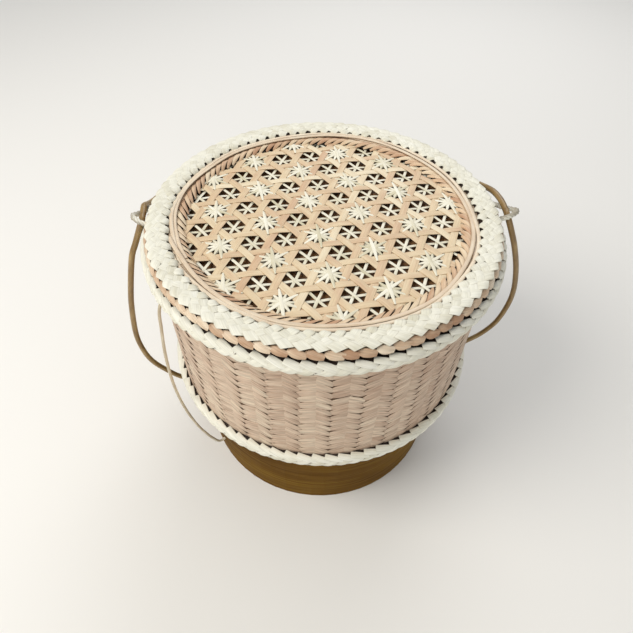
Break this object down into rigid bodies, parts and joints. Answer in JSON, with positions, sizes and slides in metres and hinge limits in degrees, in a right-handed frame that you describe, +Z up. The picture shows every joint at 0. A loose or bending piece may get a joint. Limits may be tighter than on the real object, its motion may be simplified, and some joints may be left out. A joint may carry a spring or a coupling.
{
  "type": "sticky rice basket",
  "caption": "Round woven sticky rice basket with a double wall, a bent palm stalk foot, a lift-off lid with an openwork star panel, braided rims and a cane handle threaded through lid eyes.",
  "frame": {"origin": "on the ground, under the middle of the whole object's bounding box", "axes": "+Z up along the basket's axis, +X towards the handle's right-hand leg with the front facing -Y, where the picture was taken from"},
  "size_m": [0.2332, 0.1904, 0.174],
  "materials": {
    "pale_cane_strip": "pale cream braided cane strips, satin",
    "brown_cane_strip": "pinkish brown woven strips, satin",
    "tan_bamboo_strip": "warm tan flat bamboo strips, satin",
    "brown_bamboo_weave": "brown plain woven bamboo, matte",
    "palm_stalk": "smooth ochre brown palm stalk, semi-gloss",
    "bamboo_slat": "bare bamboo, matte",
    "split_cane": "split rattan, satin",
    "brown_cane": "round brown rattan cane, satin",
    "pale_cane": "pale twisted cane cord, satin"
  },
  "bodies": {
    "basket": {"foot_ring": "palm_stalk", "foot_scarf_peg_upper": "bamboo_slat", "foot_scarf_peg_lower": "bamboo_slat", "cross_slat_side": "bamboo_slat", "cross_slat_front": "bamboo_slat", "floor_stitch_1": "pale_cane", "floor_stitch_2": "pale_cane", "floor_stitch_3": "pale_cane", "floor_stitch_4": "pale_cane", "floor_weave": "bamboo_slat", "outer_wall": "brown_cane_strip", "inner_wall": "brown_cane_strip", "base_braid": "pale_cane_strip", "base_hoop": "split_cane", "body_rim_braid": "pale_cane_strip", "body_rim_hoop": "split_cane", "handle_leg_left": "brown_cane", "handle_leg_right": "brown_cane", "handle_knot_left": "brown_cane", "handle_knot_right": "brown_cane", "stay_cane": "pale_cane", "stay_knot": "pale_cane"},
    "lid": {"lid_collar": "brown_bamboo_weave", "lid_lining": "brown_bamboo_weave", "lid_star_panel": "tan_bamboo_strip", "lid_brown_braid": "brown_cane_strip", "lid_rim_hoop": "split_cane", "lid_top_braid": "pale_cane_strip", "lid_wrapped_band": "tan_bamboo_strip", "lid_twisted_band": "brown_cane_strip", "lid_cane_hoop_inner": "split_cane", "lid_cane_hoop_middle": "split_cane", "lid_cane_hoop_outer": "split_cane", "lid_eye_left": "pale_cane", "lid_eye_right": "pale_cane"},
    "handle": {"handle_arch": "brown_cane"}
  },
  "joints": [
    {"name": "lid_lift", "type": "slide", "parent": "basket", "child": "lid", "axis": [0, 0, 1], "range_m": [0, 0.06], "deforming": ["handle_leg_left", "handle_leg_right"]},
    {"name": "handle_swing", "type": "hinge", "parent": "lid", "child": "handle", "pos_m": [-0.00328, 0.0024, 0.1684], "axis": [1, 0, 0], "range_deg": [0, 95]}
  ]
}
